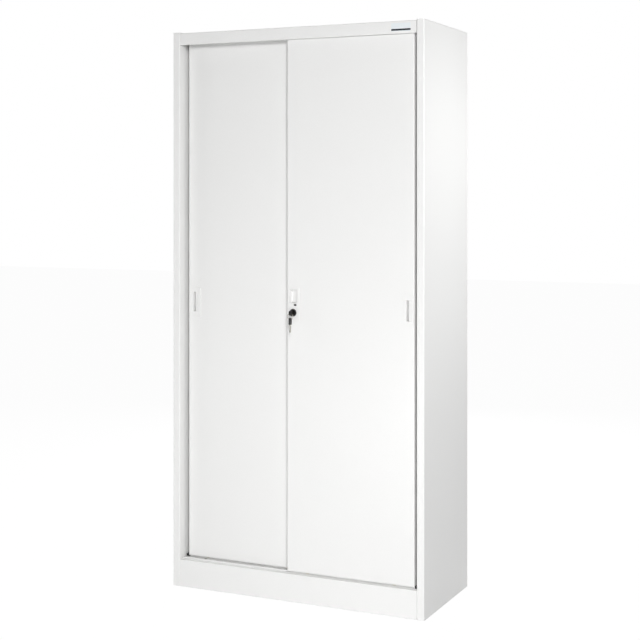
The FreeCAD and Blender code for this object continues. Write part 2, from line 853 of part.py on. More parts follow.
def stops():
    """Rubber blocks: one beside each shut door, and one in each channel where it stops open."""
    closing = []
    opening = []
    for side, track in ((1, "front_track_y"), (-1, "rear_track_y")):
        across = spread(side, "door_edge_x + seam_gap", "jamb_x - seam_gap")
        run = (f"{track} - stop_width / 2", f"{track} + stop_width / 2")
        block = box(f"closing_block_{side + 1}", across, run, ("rail_top", "rail_top + stop_height"))
        slit_run = (f"{track} - rib_width / 2", f"{track} + rib_width / 2")
        slit = box(f"closing_slit_{side + 1}", across, slit_run, ("rail_top", "rib_top"))
        closing.append(cut(f"closing_stop_{side + 1}", block, slit))
        guide = guide_spots(side)[0 if side > 0 else 1]
        near = f"{guide} - ({side}) * (guide_length / 2 + door_travel)"
        far = f"{near} - ({side}) * guide_stop_length"
        across = (far, near) if side > 0 else (near, far)
        run = (f"{track} - channel_width / 2", f"{track} + channel_width / 2")
        opening.append(box(f"opening_stop_{side + 1}", across, run, ("channel_bottom", "channel_top")))
    keep(group("closing_stops", *closing), "closing_stops")
    keep(group("opening_stops", *opening), "opening_stops")


# Flush pulls and the lock plate
def escutcheon(name, face, across, rise, cup_across, cup_rise):
    """A face plate with a closed cup sunk behind it; returns the part and its cut-out in the door."""
    front = f"{face} - plate_steel"
    corners = [(across[0], rise[0]), (across[1], rise[0]), (across[1], rise[1]), (across[0], rise[1])]
    plate = soften(slab(name + "_plate", "Y", corners, front, face), "Y", "plate_corner")
    outer_across = (f"{cup_across[0]} - cup_wall", f"{cup_across[1]} + cup_wall")
    outer_rise = (f"{cup_rise[0]} - cup_wall", f"{cup_rise[1]} + cup_wall")
    floor = f"{front} + cup_depth"
    shell = box(name + "_shell", outer_across, (face, f"{floor} + cup_wall"), outer_rise)
    hollow = box(name + "_hollow", cup_across, (front, floor), cup_rise)
    window = box(name + "_window", outer_across, (face, f"{face} + door_steel"), outer_rise)
    return cut(name + "_cup", fuse(name + "_blank", plate, shell), hollow), window


def flush_pull(node, side, face):
    """A finger pull near the outer edge of a door."""
    rise = ("pull_bottom", "(pull_bottom + pull_height)")
    cup_low = "(pull_bottom + cup_bottom_inset)"
    cup_rise = (cup_low, f"({cup_low} + cup_height)")
    if side > 0:
        right = "(door_edge_x - right_pull_inset)"
        across = (f"({right} - pull_width)", right)
        cup = (f"({right} - right_cup_inset - cup_width)", f"({right} - right_cup_inset)")
    else:
        left = "(-door_edge_x + left_pull_inset)"
        across = (left, f"({left} + pull_width)")
        cup = (f"({left} + left_cup_inset)", f"({left} + left_cup_inset + cup_width)")
    part, window = escutcheon(node, face, across, rise, cup, cup_rise)
    return keep(part, node), window


def lock_plate():
    """The plate round the lock, with a finger recess above the cylinder."""
    left = "(-door_meeting_x + lock_plate_inset)"
    across = (left, f"({left} + lock_plate_width)")
    rise = ("lock_plate_bottom", "(lock_plate_bottom + lock_plate_height)")
    cup = (f"({left} + grip_inset)", f"({left} + grip_inset + grip_width)")
    cup_top = f"({rise[1]} - grip_top_inset)"
    cup_rise = (f"({cup_top} - grip_height)", cup_top)
    part, window = escutcheon("lock_plate", "right_door_y", across, rise, cup, cup_rise)
    neck = rod("plate_bore", "Y", ("lock_x", "lock_z"), "lock_neck_radius", "plate_front_y", "right_door_y")
    return keep(cut("lock_plate_bored", part, neck), "lock_plate"), window


def lock_body():
    """The die-cast housing behind the skin, with a neck that comes out through the plate."""
    across = ("lock_x - lock_body_width / 2", "lock_x + lock_body_width / 2")
    rise = ("lock_z - lock_body_height / 2", "lock_z + lock_body_height / 2")
    block = box("lock_block", across, ("right_door_y + door_steel", "lock_body_back_y"), rise)
    centre = ("lock_x", "lock_z")
    neck = rod("lock_neck", "Y", centre, "lock_neck_radius", "plate_front_y", "right_door_y + door_steel")
    bore_radius = "plug_radius + running_fit"
    bore = rod("lock_bore", "Y", centre, bore_radius, "plate_front_y", "lock_body_back_y")
    keep(cut("lock_body", fuse("lock_casting", block, neck), bore), "lock_body")
    return rod("skin_bore", "Y", centre, "lock_neck_radius", "right_door_y", "right_door_y + door_steel")


def lock_bezel():
    """The round collar in front of the plate."""
    centre = ("lock_x", "lock_z")
    collar = rod("bezel_collar", "Y", centre, "bezel_radius", "bezel_front_y", "plate_front_y")
    bore = rod("bezel_bore", "Y", centre, "plug_radius + running_fit", "bezel_front_y", "plate_front_y")
    return keep(cut("lock_bezel", collar, bore), "lock_bezel")


def lock_cylinder():
    """The turning plug, stepped down at the back to carry the tongue, with its keyway."""
    outline = [
        ("0", "plug_front_y"),
        ("plug_radius", "plug_front_y"),
        ("plug_radius", "lock_body_back_y"),
        ("stub_radius", "lock_body_back_y"),
        ("stub_radius", "tongue_back_y"),
        ("0", "tongue_back_y"),
    ]
    plug = turned("lock_plug", outline, "lock_x", "0", "lock_z")
    half = "(key_steel / 2 + key_fit)"
    height = "(key_width / 2 + key_fit)"
    keyway = box(
        "keyway",
        (f"lock_x - {half}", f"lock_x + {half}"),
        ("plug_front_y", "plug_front_y + key_blade + key_fit"),
        (f"lock_z - {height}", f"lock_z + {height}"),
    )
    return keep(cut("lock_cylinder", plug, keyway), "lock_cylinder")


def lock_tongue():
    """The flat tongue on the plug's stub; it lies to the right while the lock is open."""
    across = ("lock_x - tongue_width / 2", "lock_x + tongue_reach")
    rise = ("lock_z - tongue_width / 2", "lock_z + tongue_width / 2")
    blade = box("tongue_blade", across, ("tongue_front_y", "tongue_back_y"), rise)
    hole = rod("tongue_hole", "Y", ("lock_x", "lock_z"), "stub_radius", "tongue_front_y", "tongue_back_y")
    keep(cut("lock_tongue", blade, hole), "lock_tongue")
    end = "tongue_back_y + tongue_screw_height"
    head = rod("tongue_screw", "Y", ("lock_x", "lock_z"), "tongue_screw_radius", "tongue_back_y", end)
    keep(head, "tongue_screw")


def strike():
    """The angle on the rear door whose lip stands beside the raised tongue."""
    left = "lock_x - tongue_width / 2 - strike_gap - strike_steel"
    rise = ("lock_z + strike_rise", "lock_z + strike_rise + strike_height")
    foot_front = "left_door_y - strike_steel"
    foot = box("strike_foot", (left, f"{left} + strike_length"), (foot_front, "left_door_y"), rise)
    lip_run = ("left_door_y - strike_reach", foot_front)
    lip = box("strike_lip", (left, f"{left} + strike_steel"), lip_run, rise)
    rivets = []
    for number in range(2):
        across = f"{left} + strike_length - rivet_inset - {number} * rivet_pitch"
        centre = (across, "lock_z + strike_rise + strike_height / 2")
        head = rod(f"rivet_{number}", "Y", centre, "rivet_radius", f"{foot_front} - rivet_height", foot_front)
        rivets.append(head)
    keep(fuse("strike_plate", foot, lip), "strike_plate")
    keep(group("strike_rivets", *rivets), "strike_rivets")


# Keys
def key_head(name, corners, hole_centre, socket):
    """A flat plastic grip with a hole for the ring and a socket for the blade."""
    low = "lock_x - key_head_thickness / 2"
    high = "lock_x + key_head_thickness / 2"
    grip = soften(slab(name + "_grip", "X", corners, low, high), "X", "key_head_corner")
    hole = rod(name + "_hole", "X", hole_centre, "key_hole_radius", low, high)
    return keep(cut(name, grip, hole, socket), name)


def key_blade(name, y, z):
    """The flat steel blade of a key; the same block cuts its socket in the grip."""
    return box(name, ("lock_x - key_steel / 2", "lock_x + key_steel / 2"), y, z)


def keys():
    """The key in the lock, the ring through its grip, and the spare key hanging on the ring."""
    half = "key_head_width / 2"
    rise = ("lock_z - key_width / 2", "lock_z + key_width / 2")
    blade_run = ("head_back_y - key_shank", "plug_front_y + key_blade")
    keep(key_blade("key_blade", blade_run, rise), "key_blade")
    low, high = f"lock_z - {half}", f"lock_z + {half}"
    corners = [("head_front_y", low), ("head_back_y", low), ("head_back_y", high), ("head_front_y", high)]
    socket = key_blade("key_socket", blade_run, rise)
    key_head("key_grip", corners, ("key_hole_y", "lock_z"), socket)

    ring = doc.addObject("Part::Torus", "key_ring")
    ring.Placement = FreeCAD.Placement(FreeCAD.Vector(), TURNS["Y"])
    ring.setExpression("Radius1", bound("ring_radius"))
    ring.setExpression("Radius2", bound("ring_wire"))
    place(ring, "lock_x", "key_hole_y", "ring_z")
    keep(ring, "key_ring")

    run = ("key_hole_y - key_width / 2", "key_hole_y + key_width / 2")
    spare_rise = ("spare_head_bottom - key_blade", "spare_head_bottom + key_shank")
    keep(key_blade("spare_key_blade", run, spare_rise), "spare_key_blade")
    front, back = f"key_hole_y - {half}", f"key_hole_y + {half}"
    corners = [
        (front, "spare_head_bottom"),
        (back, "spare_head_bottom"),
        (back, "spare_head_top"),
        (front, "spare_head_top"),
    ]
    socket = key_blade("spare_socket", run, spare_rise)
    key_head("spare_key_grip", corners, ("key_hole_y", "spare_hole_z"), socket)


def name_plate():
    """A bare plate at the right end of the header."""
    right = "(jamb_x - name_plate_inset)"
    middle = "(header_bottom + header_height / 2)"
    plate = box(
        "name_plate",
        (f"{right} - name_plate_width", right),
        ("front_y - name_plate_thickness", "front_y"),
        (f"{middle} - name_plate_height / 2", f"{middle} + name_plate_height / 2"),
    )
    return keep(plate, "name_plate")


# The cabinet
SHELVES = 4
BACK_SCREW_ROWS = 4
assembly_screws = keep(
    group("assembly_screws", *panel_screws(), *back_screws(), *plinth_screws()),
    "assembly_screws",
)
track_screws = keep(group("track_screws", *rail_screws()), "track_screws")
every_screw = group("every_screw", assembly_screws, track_screws)

side_panel("left_side_panel", -1, assembly_screws)
side_panel("right_side_panel", 1, assembly_screws)
jamb_channel("left_jamb_channel", -1)
jamb_channel("right_jamb_channel", 1)
back_panel(assembly_screws)
corners = (post_corner(-1), post_corner(1))
end_flanged_tray("top_panel", "roof", "front_y", every_screw, *corners)
gaps = [upright_gap(side, front) for side in (-1, 1) for front in ("front_upright_y", "rear_upright_y")]
end_flanged_tray("bottom_panel", "floor_top", "bottom_front_y", assembly_screws, *gaps)
header_rail(track_screws)
front_plinth(every_screw)
rear_plinth()
bottom_rail(track_screws)
top_guide_track(track_screws)
for side, side_name in ((-1, "left"), (1, "right")):
    upright(f"{side_name}_front_upright", side, "front_upright_y")
    upright(f"{side_name}_rear_upright", side, "rear_upright_y")
for number in range(1, SHELVES + 1):
    shelf(number)
    shelf_stiffener(number)
shelf_clips()
stops()
name_plate()

right_window = flush_pull("right_pull", 1, "right_door_y")[1]
left_window = flush_pull("left_pull", -1, "left_door_y")[1]
grip_window = lock_plate()[1]
lock_window = lock_body()
door_panel("right_door_panel", 1, "right_door_y", right_window, grip_window, lock_window)
door_panel("left_door_panel", -1, "left_door_y", left_window)
for side, side_name, track, face in (
    (1, "right", "front_track_y", "right_door_y"),
    (-1, "left", "rear_track_y", "left_door_y"),
):
    door_stiffener(f"{side_name}_door_stiffener", side, face)
    roller_housings(f"{side_name}_roller_housings", side, track)
    roller_axles(f"{side_name}_roller_axles", side, track)
    top_guides(f"{side_name}_top_guides", side, track)
    for number, spot in enumerate(wheel_spots(side), start=1):
        roller(f"{side_name}_door_roller_{number}", spot, track)
lock_bezel()
lock_cylinder()
lock_tongue()
strike()
keys()

doc.recompute()
faults = [item.Label for item in doc.Objects if {"Invalid", "Error"} & set(item.State)]
for part in SUBPARTS:
    if part.Shape.isNull() or not part.Shape.isValid():
        faults.append(part.Label)
if faults:
    raise RuntimeError("these objects failed: " + ", ".join(faults))
os.makedirs("parts", exist_ok=True)
for part in SUBPARTS:
    part.Shape.exportStep(f"parts/{part.Label}.step")
print(len(SUBPARTS), "sub-parts written")
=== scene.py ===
import math

import bmesh
import bpy
from mathutils import Matrix, Vector


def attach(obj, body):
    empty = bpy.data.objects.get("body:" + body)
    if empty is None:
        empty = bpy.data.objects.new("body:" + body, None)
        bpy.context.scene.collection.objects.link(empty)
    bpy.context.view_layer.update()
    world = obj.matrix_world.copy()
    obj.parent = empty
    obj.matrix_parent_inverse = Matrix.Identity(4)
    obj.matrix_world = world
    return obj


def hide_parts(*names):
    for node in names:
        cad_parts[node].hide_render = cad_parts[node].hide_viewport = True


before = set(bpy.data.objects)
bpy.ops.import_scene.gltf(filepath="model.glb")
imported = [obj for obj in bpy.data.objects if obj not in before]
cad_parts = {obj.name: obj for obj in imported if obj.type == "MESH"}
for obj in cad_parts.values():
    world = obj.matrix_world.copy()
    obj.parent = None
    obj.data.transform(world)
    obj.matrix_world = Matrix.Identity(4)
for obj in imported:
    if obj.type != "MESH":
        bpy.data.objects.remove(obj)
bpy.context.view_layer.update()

# Camera
# A level camera at eye height stands to the right of the cabinet and is raised by shift alone,
# so that the posts stay upright and parallel.
bpy.ops.object.select_all(action="DESELECT")
bpy.ops.object.camera_add(
    location=(1.92670, -4.00406, 1.31649),
    rotation=(math.radians(90), 0, math.radians(24.486)),
)
camera = bpy.context.object
picture, focal, middle = 640, 1327.53, (348.30, 192.20)  # in pixels
camera.data.sensor_width = 36
camera.data.lens = focal / picture * 36
camera.data.shift_x = (picture / 2 - middle[0]) / picture
camera.data.shift_y = (middle[1] - picture / 2) / picture
bpy.context.scene.camera = camera


# Side panels
# Each is one sheet of 0.8 mm steel, folded into a post at the front, a flange at the back and
# a strip at the top, degreased and powder coated white before assembly.
def linear(code):
    """An sRGB hex colour as the linear colour that the shader needs."""
    parts = [int(code[i:i + 2], 16) / 255 for i in (1, 3, 5)]
    return [c / 12.92 if c <= 0.04045 else ((c + 0.055) / 1.055) ** 2.4 for c in parts] + [1]


def add(tree, kind, settings, **sockets):
    """Add a node with its settings; each socket gets a number, a colour or a node's output."""
    node = tree.nodes.new(kind)
    for name, value in settings.items():
        setattr(node, name, value)
    for name, value in sockets.items():
        socket = node.inputs[int(name[1:]) if name[1:].isdigit() else name.replace("_", " ")]
        if isinstance(value, bpy.types.NodeSocket):
            tree.links.new(value, socket)
        else:
            socket.default_value = value
    return node


def new_material(name):
    """An empty node material, its Principled shader and the piece's own coordinates."""
    material = bpy.data.materials.new(name)
    material.use_nodes = True
    tree = material.node_tree
    shader = tree.nodes["Principled BSDF"]
    return material, tree, shader, add(tree, "ShaderNodeTexCoord", {}).outputs["Object"]


# Polyester powder coat, sprayed and baked: an even white with a slight orange peel. Real peel is
# 1 to 3 mm across; it is drawn 5 mm across so that it shows. Thin sheet is never quite flat, so
# wide, very shallow waves carry the reflections off their course.
powder_coat, tree, shader, place = new_material("powder_coated_steel")
shader.inputs["IOR"].default_value = 1.5
peel = add(tree, "ShaderNodeTexNoise", {}, Vector=place, Scale=200, Detail=2, Roughness=0.5)
waves = add(tree, "ShaderNodeTexNoise", {}, Vector=place, Scale=3.5, Detail=1, Roughness=0.4)
film = add(tree, "ShaderNodeMapRange", {}, Value=waves.outputs["Fac"], To_Min=0.30, To_Max=0.38)
tint = add(tree, "ShaderNodeMix", {"data_type": "RGBA"}, Factor=peel.outputs["Fac"])
tint.inputs[6].default_value = linear("#F1F1F0")
tint.inputs[7].default_value = linear("#F5F5F4")
bulge = add(tree, "ShaderNodeBump", {}, Height=waves.outputs["Fac"], Strength=0.5, Distance=0.004)
skin = add(
    tree, "ShaderNodeBump", {}, Height=peel.outputs["Fac"], Normal=bulge.outputs["Normal"],
    Strength=0.12, Distance=0.0002,
)
tree.links.new(tint.outputs[2], shader.inputs["Base Color"])
tree.links.new(film.outputs["Result"], shader.inputs["Roughness"])
tree.links.new(skin.outputs["Normal"], shader.inputs["Normal"])


# The functions below take places and lengths in mm; Blender's own operators and nodes take metres.
X, Y, Z = 0, 1, 2
steel, slack, fold_steps = 0.8, 0.02, 5


def within(*spans):
    """A test for spots inside spans, each an axis with one level or with a low and a high one."""
    return lambda spot: all(span[1] - slack <= spot[span[0]] <= span[-1] + slack for span in spans)


def pick(kind, *tests):
    """In edit mode, select the faces, edges or corners that lie wholly inside one of the tests."""
    bpy.ops.mesh.select_mode(type={"faces": "FACE", "edges": "EDGE", "verts": "VERT"}[kind])
    bpy.ops.mesh.select_all(action="DESELECT")
    mesh = bmesh.from_edit_mesh(bpy.context.edit_object.data)
    for item in getattr(mesh, kind):
        corners = [item] if kind == "verts" else item.verts
        if any(all(test(corner.co * 1000) for corner in corners) for test in tests):
            item.select_set(True)
    bmesh.update_edit_mesh(bpy.context.edit_object.data)


def pull_out(x=0, y=0, z=0):
    """Extrude what is selected by a step."""
    step = (x / 1000, y / 1000, z / 1000)
    bpy.ops.mesh.extrude_region_move(TRANSFORM_OT_translate={"value": step})


def first_panel(low, high):
    """Lay the first flat panel of a sheet between two corners; it is flat on one axis."""
    bpy.ops.object.select_all(action="DESELECT")
    low, high = Vector(low) / 1000, Vector(high) / 1000
    size = high - low
    turn = [(0, math.pi / 2, 0), (math.pi / 2, 0, 0), (0, 0, 0)][list(size).index(0)]
    bpy.ops.mesh.primitive_plane_add(size=1, location=(low + high) / 2, rotation=turn)
    bpy.ops.object.transform_apply()
    bpy.ops.object.mode_set(mode="EDIT")
    bpy.ops.transform.resize(value=[side or 1 for side in size], center_override=(low + high) / 2)


def round_folds(radius):
    """Round every fold of the open sheet with the brake's radius."""
    bpy.ops.mesh.select_all(action="DESELECT")
    bpy.ops.mesh.select_mode(type="EDGE")
    bpy.ops.mesh.edges_select_sharp(sharpness=math.radians(30))
    bpy.ops.mesh.bevel(offset=radius / 1000, segments=fold_steps, affect="EDGES")


def fold(y, z, x=0, axis=(1, 0, 0), degrees=90):
    """Bend the selected edge round a line through a spot, right-handed about its axis."""
    bpy.ops.mesh.spin(
        steps=fold_steps, angle=math.radians(-degrees), center=(x / 1000, y / 1000, z / 1000),
        axis=axis,
    )


def cut_lines(test, axis, *levels):
    """Score the faces that pass the test with straight lines across an axis."""
    for level in levels:
        pick("faces", test)
        spot, across = [0, 0, 0], [0, 0, 0]
        spot[axis], across[axis] = level / 1000, 1
        bpy.ops.mesh.bisect(plane_co=spot, plane_no=across)


def cut_window(flat, *spans):
    """Cut a window out of the flat face at a level, given as an axis and a level."""
    for span in spans:
        cut_lines(within(flat), *span)
    pick("faces", within(flat, *spans))
    bpy.ops.mesh.delete(type="FACE")


def push(face, depth, across, rise):
    """Push the part of the flat face at a place on Y that lies inside two spans along Y."""
    cut_lines(within((Y, face)), X, *across)
    cut_lines(within((Y, face)), Z, *rise)
    pick("faces", within((Y, face), (X, *across), (Z, *rise)))
    pull_out(y=depth)


def even_shading(piece):
    """Shade the folds smooth and keep the flat faces flat."""
    bpy.ops.object.shade_smooth_by_angle(angle=math.radians(35))
    shading = piece.modifiers.new("shading", "WEIGHTED_NORMAL")
    shading.keep_sharp = True
    bpy.ops.object.modifier_apply(modifier=shading.name)


def finish_sheet(name, outside):
    """Turn the sheet's outer face outwards, give it its thickness inwards, and name the piece."""
    bpy.ops.mesh.select_all(action="SELECT")
    bpy.ops.mesh.remove_doubles(threshold=0.00001)
    bpy.ops.mesh.normals_make_consistent(inside=False)
    mesh = bmesh.from_edit_mesh(bpy.context.edit_object.data)
    widest = max(mesh.faces, key=lambda face: face.calc_area())
    if widest.normal.dot(Vector(outside)) < 0:
        bpy.ops.mesh.flip_normals()
    bpy.ops.object.mode_set(mode="OBJECT")
    sheet = bpy.context.object
    sheet.name = sheet.data.name = name
    wall = sheet.modifiers.new("steel", "SOLIDIFY")
    wall.thickness, wall.offset, wall.use_even_offset = steel / 1000, -1, True
    bpy.ops.object.modifier_apply(modifier=wall.name)
    even_shading(sheet)
    return sheet


def settle(piece, material, body, slot, *nodes):
    """Give a finished piece its material and its body, and hide the nodes that it stands for; the
    slot is not used.
    """
    piece.data.materials.clear()
    piece.data.materials.append(material)
    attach(piece, body)
    if nodes:
        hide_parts(*nodes)


def other_side(piece, name):
    """A mirrored copy of a piece with its own mesh."""
    bpy.ops.object.select_all(action="DESELECT")
    copy = piece.copy()
    copy.data = piece.data.copy()
    copy.name = copy.data.name = name
    bpy.context.collection.objects.link(copy)
    copy.select_set(True)
    bpy.context.view_layer.objects.active = copy
    bpy.ops.mesh.customdata_custom_splitnormals_clear()
    bpy.ops.object.mode_set(mode="EDIT")
    bpy.ops.mesh.select_all(action="SELECT")
    bpy.ops.transform.resize(value=(-1, 1, 1), center_override=(0, 0, 0))
    bpy.ops.mesh.flip_normals()
    bpy.ops.object.mode_set(mode="OBJECT")
    even_shading(copy)
    return copy


side_x, front_y, back_y, roof_z = 450, -200, 200, 1850
post_width, post_return, back_fold, top_fold, bend = 25, 18, 20, 21.4, 2.8
first_panel((side_x, front_y, 0), (side_x, back_y, roof_z))
pick("edges", within((Y, front_y)))
pull_out(x=-post_width)
pull_out(y=post_return)
pick("edges", within((Y, back_y)))
pull_out(x=-back_fold)
round_folds(bend)

# The strip at the top is folded between the rounds of the post and of the back flange.
strip_start, strip_end, strip_reach, fold_line = -196, 196, 3, roof_z - bend
cut_window((X, side_x), (Y, strip_start, strip_end), (Z, fold_line, roof_z))
pick("edges", within((X, side_x), (Y, strip_start, strip_end), (Z, fold_line)))
fold(0, fold_line, x=side_x - bend, axis=(0, 1, 0), degrees=-90)
pull_out(x=-top_fold)
pick("edges", within((Y, strip_start), (Z, roof_z)))
pull_out(y=-strip_reach)
pick("edges", within((Y, strip_end), (Z, roof_z)))
pull_out(y=strip_reach)

# A fine press line runs down the post's face, the post's head is pressed in behind a rim, and
# the return is notched where the plinth's ledge runs behind it.
plinth_top, rim_foot, rim_head = 90, 1845.6, 1849.2
line_across, line_depth, head_across, head_depth = (434, 435.2), 0.4, (428, 447), 2
push(front_y, line_depth, line_across, (plinth_top, rim_foot))
push(front_y, head_depth, head_across, (rim_foot, rim_head))
notch = ((Y, front_y + bend, front_y + post_return), (Z, plinth_top - 1, plinth_top + 2))
cut_window((X, side_x - post_width), *notch)
right_side = finish_sheet("right_side_sheet", (1, 0, 0))
left_side = other_side(right_side, "left_side_sheet")
settle(right_side, powder_coat, "carcass", "white_powder_coat", "right_side_panel")
settle(left_side, powder_coat, "carcass", "white_powder_coat", "left_side_panel")

# Jamb channels
# Roll-formed channels of the same sheet, spot-welded inside the posts. They line the opening
# beside the doors and stiffen the front.
jamb_x, jamb_front, jamb_back, ceiling = 425.8, -199.2, -132, 1845.4
front_flange, back_flange, jamb_bend = 20.2, 17.2, 2
first_panel((jamb_x, jamb_front, 0), (jamb_x, jamb_back, ceiling))
pick("edges", within((Y, jamb_front)))
pull_out(x=front_flange)
pick("edges", within((Y, jamb_back)))
pull_out(x=back_flange)
round_folds(jamb_bend)
right_jamb = finish_sheet("right_jamb", (-1, 0, 0))
left_jamb = other_side(right_jamb, "left_jamb")
settle(right_jamb, powder_coat, "carcass", "white_powder_coat", "right_jamb_channel")
settle(left_jamb, powder_coat, "carcass", "white_powder_coat", "left_jamb_channel")

# Top panel
# A flat sheet with an end flange folded down inside each side panel, where it is screwed.
# Its front corners are cut out round the posts.
inner_x, inner_back, top_z = 449.2, 198.4, 1847
rail_end, corner_back, end_flange, small_bend = 424.7, -181.7, 20, 1.8
first_panel((-inner_x, front_y, top_z), (inner_x, inner_back, top_z))
cut_window((Z, top_z), (X, rail_end, inner_x), (Y, front_y, corner_back))
cut_window((Z, top_z), (X, -inner_x, -rail_end), (Y, front_y, corner_back))
pick("edges", within((X, -inner_x)), within((X, inner_x)))
pull_out(z=-end_flange)
round_folds(small_bend)
top = finish_sheet("top_sheet", (0, 0, 1))
settle(top, powder_coat, "carcass", "white_powder_coat", "top_panel")

# Header rail
# The folded rail over the doors: a face with a lip below and a flange that is screwed up
# under the top panel together with the guide track.
header_foot, header_head, foot_lip, head_flange = 1808, 1846.2, 6, 58
first_panel((-rail_end, front_y, header_foot), (rail_end, front_y, header_head))
pick("edges", within((Z, header_foot)))
pull_out(y=foot_lip)
pick("edges", within((Z, header_head)))
pull_out(y=head_flange)
round_folds(small_bend)
header = finish_sheet("header_sheet", (0, 0, 1))
settle(header, powder_coat, "carcass", "white_powder_coat", "header_rail")

# Plinths and bottom panel
# The front plinth is one folded sheet: foot, face and the ledge that carries the rail. The rear
# plinth is a channel, and the bottom panel lies on both.
plinth_foot, plinth_ledge = 20, 92
first_panel((-rail_end, front_y, 0), (rail_end, front_y, plinth_top))
pick("edges", within((Z, 0)))
pull_out(y=plinth_foot)
pick("edges", within((Z, plinth_top)))
pull_out(y=plinth_ledge)
round_folds(small_bend)
plinth = finish_sheet("front_plinth_sheet", (0, 0, 1))
settle(plinth, powder_coat, "carcass", "white_powder_coat", "front_plinth")

rear_end, tight_bend = 448.1, 1.2
first_panel((-rear_end, inner_back, 0), (rear_end, inner_back, plinth_top))
pick("edges", within((Z, 0)), within((Z, plinth_top)))
pull_out(y=-plinth_foot)
round_folds(tight_bend)
rear_plinth = finish_sheet("rear_plinth_sheet", (0, 1, 0))
settle(rear_plinth, powder_coat, "carcass", "white_powder_coat", "rear_plinth")


def dress(material, *nodes):
    """Give carried-over parts their material."""
    for name in nodes:
        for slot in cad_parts[name].material_slots:
            slot.material = material


dress(powder_coat, "bottom_panel", "back_panel")

# Bottom rail and top guide track
# The rail is a rolled steel strip with a rib for each door, and the track is a folded double
# channel. Both are powder coated like the carcass and screwed on between the jambs.
dress(powder_coat, "bottom_rail", "top_guide_track")

# Slotted uprights, shelves and shelf clips
# The uprights are slotted channels on the side panels. Each shelf is a folded sheet with a
# channel under its middle, and rests on four zinc-plated clips hooked into the slots.

# Zinc plate, bright and passivated: a cool grey with a faint yellow and blue bloom, and fine
# drawing lines along the strip about 0.5 mm apart, drawn 1.5 mm apart so that they show.
zinc_plate, tree, shader, place = new_material("zinc_plated_steel")
shader.inputs["Metallic"].default_value = 1
bloom = add(tree, "ShaderNodeTexNoise", {}, Vector=place, Scale=45, Detail=3, Roughness=0.6)
stretch = add(tree, "ShaderNodeMapping", {}, Vector=place, Scale=(30, 660, 660))
lines = add(tree, "ShaderNodeTexNoise", {}, Vector=stretch.outputs["Vector"], Scale=1, Detail=2)
shade = add(tree, "ShaderNodeMix", {"data_type": "RGBA"}, Factor=bloom.outputs["Fac"])
shade.inputs[6].default_value = linear("#BFC3C4")
shade.inputs[7].default_value = linear("#D3D1C9")
dull = add(tree, "ShaderNodeMapRange", {}, Value=lines.outputs["Fac"], To_Min=0.26, To_Max=0.42)
drawn = add(tree, "ShaderNodeBump", {}, Height=lines.outputs["Fac"], Strength=0.2, Distance=0.0001)
tree.links.new(shade.outputs[2], shader.inputs["Base Color"])
tree.links.new(dull.outputs["Result"], shader.inputs["Roughness"])
tree.links.new(drawn.outputs["Normal"], shader.inputs["Normal"])
dress(zinc_plate, "shelf_clips")
dress(
    powder_coat, "left_front_upright", "right_front_upright", "left_rear_upright",
    "right_rear_upright", "shelf_stiffener_1", "shelf_stiffener_2", "shelf_stiffener_3",
    "shelf_stiffener_4",
)
shelf_end, shelf_front, shelf_back, shelf_z = 435.2, -125, 194.4, 467.8
shelf_drop, shelf_lip, shelf_pitch = 25, 15, 350
first_panel((-shelf_end, shelf_front, shelf_z), (shelf_end, shelf_back, shelf_z))
for edge, inwards in ((shelf_front, shelf_lip), (shelf_back, -shelf_lip)):
    pick("edges", within((Y, edge)))
    pull_out(z=-shelf_drop)
    pull_out(y=inwards)
round_folds(small_bend)
shelf = finish_sheet("shelf_board_1", (0, 0, 1))


def again(piece, name, move):
    """A moved copy of a piece with its own mesh."""
    copy = piece.copy()
    copy.data = piece.data.copy()
    copy.name = copy.data.name = name
    copy.data.transform(move)
    bpy.context.collection.objects.link(copy)
    return copy


shelves = [shelf]
for number in (2, 3, 4):
    up = Matrix.Translation((0, 0, shelf_pitch / 1000 * (number - 1)))
    shelves.append(again(shelf, f"shelf_board_{number}", up))
for number, board in enumerate(shelves, start=1):
    settle(board, powder_coat, "carcass", "white_powder_coat", f"shelf_{number}")


# Doors
# Each door is a tray of the same steel: a skin, two edges with lips, and a flange at the head
# and at the foot. The right one runs in front and carries the lock. Powder coated before fitting.
def door_tray(name, left, right, face, back, *windows):
    """Fold one door and cut its windows, each given as spans of X and of Z."""
    foot, head, lip, corner = 96, 1815, 12, 4
    first_panel((left, face, foot), (right, face, head))
    pick("edges", within((X, left)))
    pull_out(y=back - face)
    pull_out(x=lip)
    pick("edges", within((X, right), (Y, face)))
    pull_out(y=back - face)
    pull_out(x=-lip)
    round_folds(bend)
    width = (X, left + corner, right - corner)
    for end, line, turn in ((foot, foot + bend, 90), (head, head - bend, -90)):
        cut_window((Y, face), width, (Z, min(end, line), max(end, line)))
        pick("edges", within((Y, face), width, (Z, line)))
        fold(face + bend, line, degrees=turn)
        pull_out(y=back - face - bend - steel)
    for window in windows:
        cut_window((Y, face), *window)
    return finish_sheet(name, (0, -1, 0))


door_edge, door_overlap = 413.5, 27
right_face, right_back, left_face, left_back = -190, -168, -160, -138
cup_rise, window_rise = (917, 982), (Z, 915, 984)
recess_window = ((X, -18.5, 11.5), (Z, 958, 1005))
lock_window = ((X, -13.5, 5.5), (Z, 919.5, 938.5))
right_door = door_tray(
    "right_door_tray", -door_overlap, door_edge, right_face, right_back,
    ((X, 386.5, 407.5), window_rise), recess_window, lock_window,
)
left_door = door_tray(
    "left_door_tray", -door_edge, door_overlap, left_face, left_back,
    ((X, -396, -375), window_rise),
)
settle(right_door, powder_coat, "right_door", "white_powder_coat", "right_door_panel")
settle(left_door, powder_coat, "left_door", "white_powder_coat", "left_door_panel")
dress(powder_coat, "left_door_stiffener", "right_door_stiffener")

# Flush pulls
# Injection-moulded white ABS: a face plate with a finger cup behind it, pushed through a window
# in the skin and held by spring catches. Fingertips hook into the deep slot at the cup's left.

